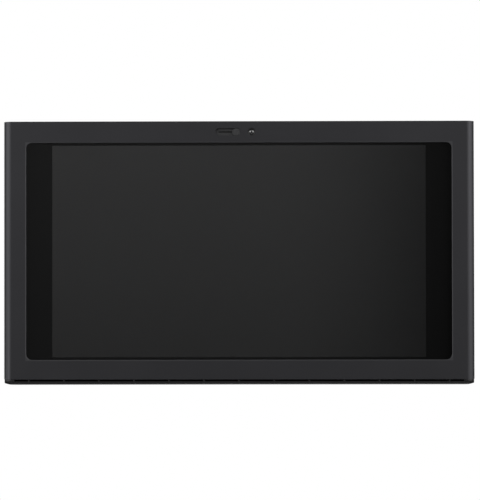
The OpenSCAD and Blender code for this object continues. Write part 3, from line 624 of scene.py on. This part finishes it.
# %% Rounded edges
def eased(node, radius, folds=None, fold_radius=0.0):
    """Replaces a CAD node by a copy with rounded edges."""
    shape = merged_copy(node)
    if folds:
        chosen = [e for e in sharp_edges(shape) if folds(middle_of(e))]
        bmesh.ops.bevel(shape, geom=chosen, offset=fold_radius, offset_type="OFFSET",
                        affect="EDGES", segments=4, profile=0.5, clamp_overlap=False, material=-1)
    bmesh.ops.bevel(shape, geom=sharp_edges(shape), offset=radius, offset_type="OFFSET",
                    affect="EDGES", segments=2, profile=0.5, clamp_overlap=True, material=-1)
    piece = piece_from(shape, node + "_eased", node)
    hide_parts(node)
    weighted = piece.modifiers.new("flat faces stay flat", "WEIGHTED_NORMAL")
    weighted.keep_sharp = True

print("easing ready")

# %% Ease the steel and the mouldings
FOLD_R = 0.9 * MM
EDGE_R = {"front_frame": 0.25, "shutter_track": 0.25, "shutter_tab": 0.22, "power_button": 0.4,
          "side_panel_left": 0.25, "side_panel_right": 0.25, "top_panel": 0.25,
          "back_panel": 0.25, "base_pan": 0.35, "wall_plate": 0.3, "cord_grommet": 0.5,
          "outlet_collar": 0.3, "damper_flap": 0.3, "filter_frame_left": 0.7,
          "filter_frame_right": 0.7, "filter_pull_left": 0.3, "filter_pull_right": 0.3,
          "cooktop_camera_window": 0.15, "cooktop_light_lenses": 0.15}

def rolled_edge(point):
    """True on the front edge of the screen opening, which the press rolls round."""
    slit_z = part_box("cover_glass")[1].z
    return point.y < front_y + 0.2 * MM and point.z < slit_z

for node, radius in EDGE_R.items():
    folds = rolled_edge if node == "front_frame" else None
    eased(node, radius * MM, folds, FOLD_R)

# %% [markdown]
# ## The trim under the frame
#
# The plastic trim has a thin front edge, and below it a slope that runs back under the body, so
# from the room it ends in a thin black line. The CAD keeps the simple outline. Here a copy is cut
# level with the top of the slope, and what lies below the cut is drawn in: the lower, the more.

# %% Undercut trim
UNDERCUT_TOP = 2.3 * MM
UNDERCUT_DEPTH = 5.0 * MM

def undercut_trim(node):
    """Replaces the trim by a copy whose lower part is drawn in."""
    shape = merged_copy(node)
    everything = shape.verts[:] + shape.edges[:] + shape.faces[:]
    bmesh.ops.bisect_plane(shape, geom=everything, dist=0.001 * MM, plane_no=(0, 0, 1),
                           plane_co=(0, 0, UNDERCUT_TOP))
    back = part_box(node)[1].y
    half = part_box(node)[1].x
    length = back - front_y
    for v in shape.verts:
        share = max(0.0, 1 - v.co.z / UNDERCUT_TOP) * UNDERCUT_DEPTH
        v.co.x *= 1 - share / half
        v.co.y = back + (v.co.y - back) * (1 - share / length)
    bmesh.ops.bevel(shape, geom=sharp_edges(shape), offset=0.25 * MM, offset_type="OFFSET",
                    affect="EDGES", segments=2, profile=0.5, clamp_overlap=True, material=-1)
    piece = piece_from(shape, node + "_undercut", node)
    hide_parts(node)
    return piece

print("trim:", len(undercut_trim("lower_trim").data.polygons), "faces")

# %% [markdown]
# ## The camera's eye
#
# A camera behind a flat window would hardly show. What catches light is its bulging front lens,
# whose curve gathers the whole room into two small bright windows. The lens is a short profile,
# half a lens in section, spun once round its own axis; a dished ring holds it in the steel.

# %% Lens and ring
def spun_piece(name, node, slot, profile, centre):
    """Spins a profile of (radius, y) points once round an axis along Y."""
    shape = bmesh.new()
    points = [shape.verts.new((r, y, 0)) for r, y in profile]
    line = [shape.edges.new(pair) for pair in zip(points, points[1:])]
    bmesh.ops.spin(shape, geom=points + line, cent=(0, 0, 0), axis=(0, 1, 0),
                   angle=math.tau, steps=48, use_merge=True)
    bmesh.ops.remove_doubles(shape, verts=shape.verts, dist=0.001 * MM)
    bmesh.ops.recalc_face_normals(shape, faces=shape.faces)
    bmesh.ops.translate(shape, verts=shape.verts, vec=centre)
    piece = piece_from(shape, name, node, 35.0)
    piece.data.materials.clear()
    piece.data.materials.append(finishes[slot])
    return piece

window_low, window_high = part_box("camera_window")
eye = (window_low + window_high) / 2
DOME_R = 5.6 * MM
LENS_R = 4.3 * MM
DOME_STEPS = 9
lens_front = front_y + 0.1 * MM
window_back = window_high.y
lens_back = window_back + 1.4 * MM
section = [(0.0, lens_front)]
for step in range(1, DOME_STEPS + 1):
    tilt = math.asin(LENS_R / DOME_R) * step / DOME_STEPS
    section.append((DOME_R * math.sin(tilt), lens_front + DOME_R * (1 - math.cos(tilt))))
section += [(LENS_R, lens_back), (0.0, lens_back)]
lens = spun_piece("camera_front_lens", "camera_window", "lens_glass", section,
                  (eye.x, 0, eye.z))
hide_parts("camera_window")

ring_out = (window_high.x - window_low.x) / 2
ring_in = LENS_R + 0.05 * MM
ring = [(ring_out, window_back), (ring_out, window_low.y), (ring_out - 0.5 * MM, window_low.y),
        (ring_in, window_back - 0.1 * MM), (ring_in, window_back), (ring_out, window_back)]
spun_piece("camera_ring", "room_camera", "black_plastic", ring, (eye.x, 0, eye.z))
print("lens apex", round((lens_front - front_y) / MM, 2), "mm behind the steel")

# %% [markdown]
# ## Filter mesh
#
# A grease filter is a stack of expanded aluminium: a sheet is slit and pulled until each slit is a
# diamond. One layer is a grid, turned to stand on its corners, stretched, and turned into struts
# with the wireframe operator. Three layers lie shifted on each other between the filter's rails,
# so no light gets straight through.

# %% Expanded metal
DIAMOND = 6.5 * MM
STRUT = 0.9 * MM
FIRST_LAYER, LAYER_GAP = 1.0 * MM, 2.0 * MM

def expanded_metal(node, side):
    """Replaces a filter's block by three shifted layers of expanded metal."""
    low_corner, high_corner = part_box(node)
    centre = (low_corner + high_corner) / 2
    size = high_corner - low_corner
    layers = bmesh.new()
    for level in range(3):
        sheet = bmesh.new()
        cells = int(size.x / DIAMOND)
        bmesh.ops.create_grid(sheet, x_segments=cells, y_segments=cells, size=size.x * 0.75)
        on_corner = Matrix.Rotation(math.radians(45), 3, "Z")
        bmesh.ops.rotate(sheet, verts=sheet.verts, matrix=on_corner)
        bmesh.ops.scale(sheet, verts=sheet.verts, vec=(1.0, 0.62, 1.0))
        shift = Vector((level * DIAMOND * 0.37, level * DIAMOND * 0.21, 0))
        outside = [f for f in sheet.faces
                   if abs(f.calc_center_median().x) > size.x / 2 - 1 * MM
                   or abs(f.calc_center_median().y) > size.y / 2 - 1 * MM]
        bmesh.ops.delete(sheet, geom=outside, context="FACES")
        bmesh.ops.wireframe(sheet, faces=sheet.faces, thickness=STRUT, use_replace=True,
                            use_boundary=True, use_even_offset=True)
        flat_z = low_corner.z + FIRST_LAYER + level * LAYER_GAP
        bmesh.ops.translate(sheet, verts=sheet.verts,
                            vec=Vector((centre.x, centre.y, flat_z)) + shift)
        layer_mesh = bpy.data.meshes.new("layer")
        sheet.to_mesh(layer_mesh)
        sheet.free()
        layers.from_mesh(layer_mesh)
        bpy.data.meshes.remove(layer_mesh)
    piece = piece_from(layers, "expanded_metal_" + side, node, 30.0)
    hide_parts(node)
    return piece

for side in ("left", "right"):
    piece = expanded_metal("filter_mesh_" + side, side)
    print(piece.name, len(piece.data.polygons), "faces")

# %% [markdown]
# ## Screws
#
# The cabinet is held by pan-head screws with a cross recess. One head is a flat cylinder whose rim
# is bevelled round, and its recess is a star: two insets make it, one on the surface and one
# pressed in. The same head is put at each screw of the CAD group, on the top panel and on the back.

# %% Pan heads with a cross recess
HEAD_R, HEAD_H = 3.6 * MM, 1.4 * MM
CROSS_R, CROSS_DEPTH = 1.9 * MM, 0.7 * MM

def screw_head():
    """A pan head, standing on z = 0."""
    head = bmesh.new()
    bmesh.ops.create_cone(head, cap_ends=True, cap_tris=False, segments=24, radius1=HEAD_R,
                          radius2=HEAD_R, depth=HEAD_H)
    bmesh.ops.translate(head, verts=head.verts, vec=(0, 0, HEAD_H / 2))
    rim = [e for e in head.edges if all(abs(v.co.z - HEAD_H) < 1e-6 for v in e.verts)]
    bmesh.ops.bevel(head, geom=rim, offset=0.9 * MM, offset_type="OFFSET", affect="EDGES",
                    segments=4, profile=0.5, material=-1)
    top = max(head.faces, key=lambda f: f.calc_center_median().z)
    for share, drop in ((1.0, 0.0), (0.8, CROSS_DEPTH)):
        bmesh.ops.inset_region(head, faces=[top], thickness=HEAD_R * 0.12, depth=0.0)
        for v in top.verts:
            angle = math.atan2(v.co.y, v.co.x)
            wave = abs(math.cos(2 * angle)) ** 3
            radius = CROSS_R * (0.36 + 0.64 * wave) * share
            v.co = Vector((math.cos(angle) * radius, math.sin(angle) * radius, HEAD_H - drop))
    return head

print("a head is", 2 * HEAD_R / MM, "mm across")

# %% A head at every screw
def islands(source):
    """The lowest and highest corners of each loose part of a bmesh."""
    places = []
    left_over = set(source.verts)
    for first in source.verts:
        if first not in left_over:
            continue
        left_over.discard(first)
        island = [first]
        for v in island:
            for e in v.link_edges:
                other = e.other_vert(v)
                if other in left_over:
                    left_over.discard(other)
                    island.append(other)
        small = Vector([min(v.co[i] for v in island) for i in range(3)])
        big = Vector([max(v.co[i] for v in island) for i in range(3)])
        places.append((small, big))
    return places

def screws(node):
    """Replaces a group of CAD screws by detailed ones."""
    source = merged_copy(node)
    places = islands(source)
    source.free()
    group = bmesh.new()
    for number, (small, big) in enumerate(places):
        centre = (small + big) / 2
        on_top = big.z - small.z < 8 * MM and centre.z > height * 0.98
        head = screw_head()
        bmesh.ops.rotate(head, verts=head.verts,
                         matrix=Matrix.Rotation(math.radians(37 * number), 3, "Z"))
        if on_top:
            seat = Vector((centre.x, centre.y, big.z - HEAD_H))
        else:
            bmesh.ops.rotate(head, verts=head.verts,
                             matrix=Matrix.Rotation(math.radians(-90), 3, "X"))
            seat = Vector((centre.x, big.y - HEAD_H, centre.z))
        bmesh.ops.translate(head, verts=head.verts, vec=seat)
        one = bpy.data.meshes.new("one")
        head.to_mesh(one)
        head.free()
        group.from_mesh(one)
        bpy.data.meshes.remove(one)
    bmesh.ops.recalc_face_normals(group, faces=group.faces)
    piece = piece_from(group, node + "_crosshead", node, 50.0)
    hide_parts(node)
    return len(places)

print("screws:", screws("case_screws"))

# %% [markdown]
# ## The floor's finish
#
# The floor is a pale backdrop that no lamp reaches evenly, so it glows a little itself.

# %% Floor finish
paint = Finish("floor_paint", (0.86, 0.86, 0.86), 0.7)
paint.set("Emission Color", (1.0, 1.0, 1.0))
paint.set("Emission Strength", 0.75)
floor.data.materials.append(paint.material)
print("floor painted")

# %% [markdown]
# ## The end
